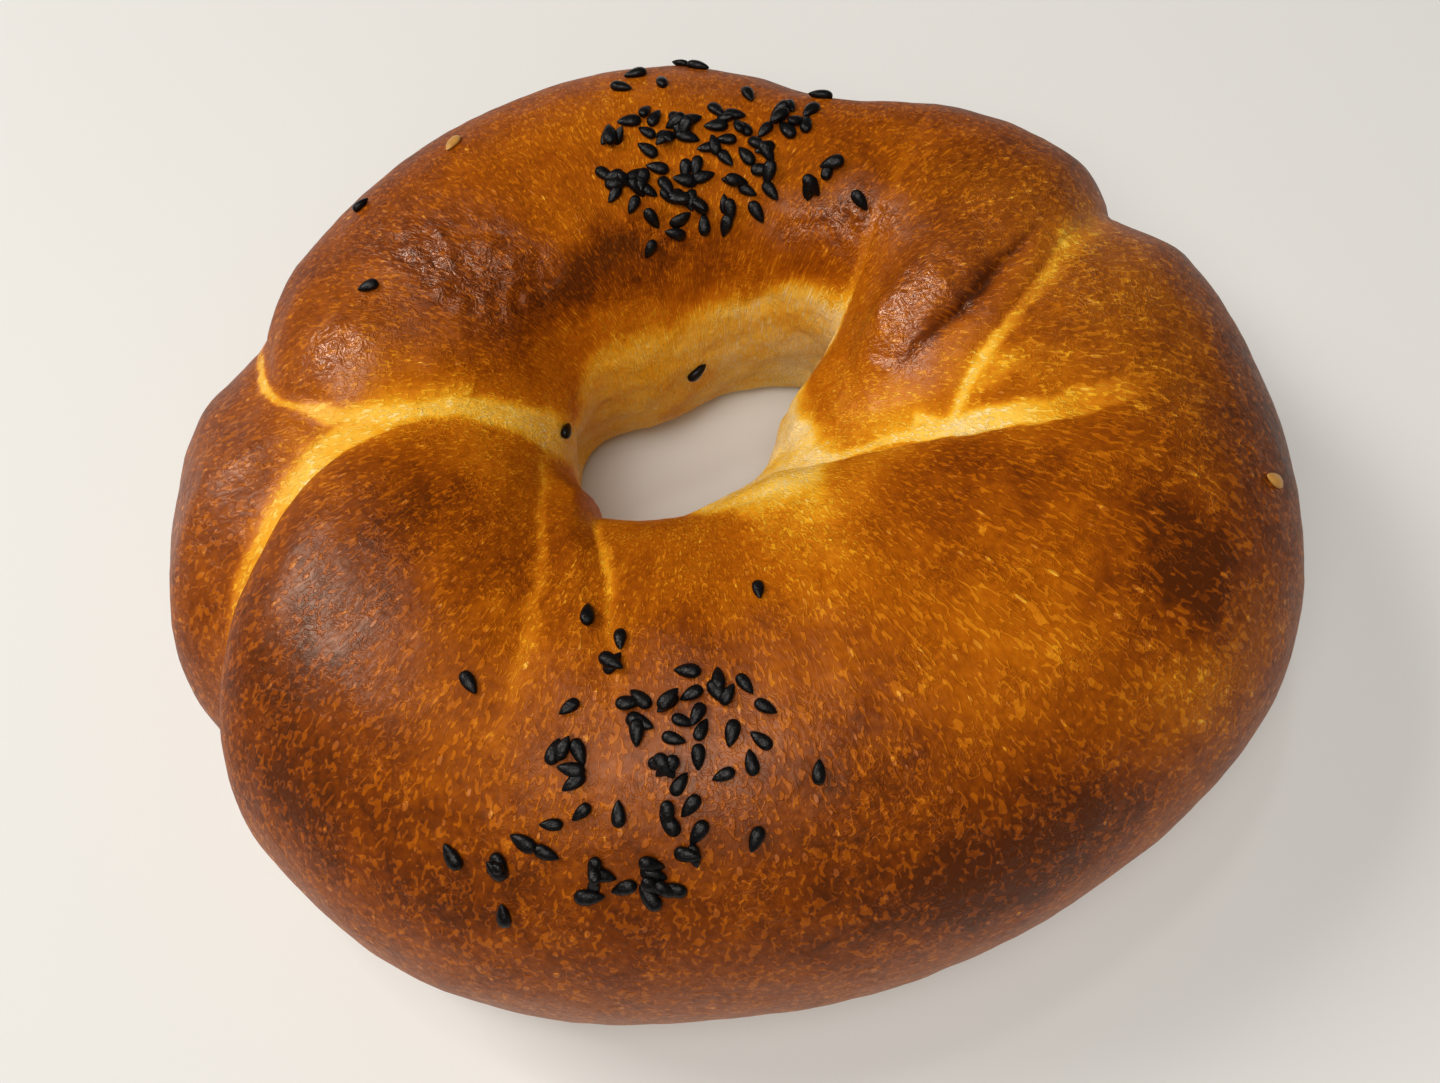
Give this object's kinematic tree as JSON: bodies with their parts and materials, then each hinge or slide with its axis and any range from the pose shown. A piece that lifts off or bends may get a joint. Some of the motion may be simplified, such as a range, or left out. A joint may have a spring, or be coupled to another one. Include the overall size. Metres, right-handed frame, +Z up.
{
  "type": "twisted ring bread",
  "caption": "Soft ring bread twisted from one rope of dough: glossy golden-brown crust, pale folds between its lobes, a hole behind the middle and black seeds; rests on a flat underside.",
  "frame": {"origin": "middle of the ring's bounding box, on the surface it rests on", "axes": "+Z up, away from the flat underside; +X along the ring's longest side, to the right in the picture; +Y away from the viewer, towards the thinner side of the ring and its hole"},
  "size_m": [0.1247, 0.1125, 0.044],
  "materials": {
    "crust": "egg-washed baked crust, satin to glossy, orange-brown with dark brown crowns and pale cream-yellow folds",
    "nigella": "black seed skin, matt to satin",
    "sesame": "toasted tan seed skin, satin"
  },
  "bodies": {
    "root": {"acma_bread": "crust"}
  },
  "joints": []
}
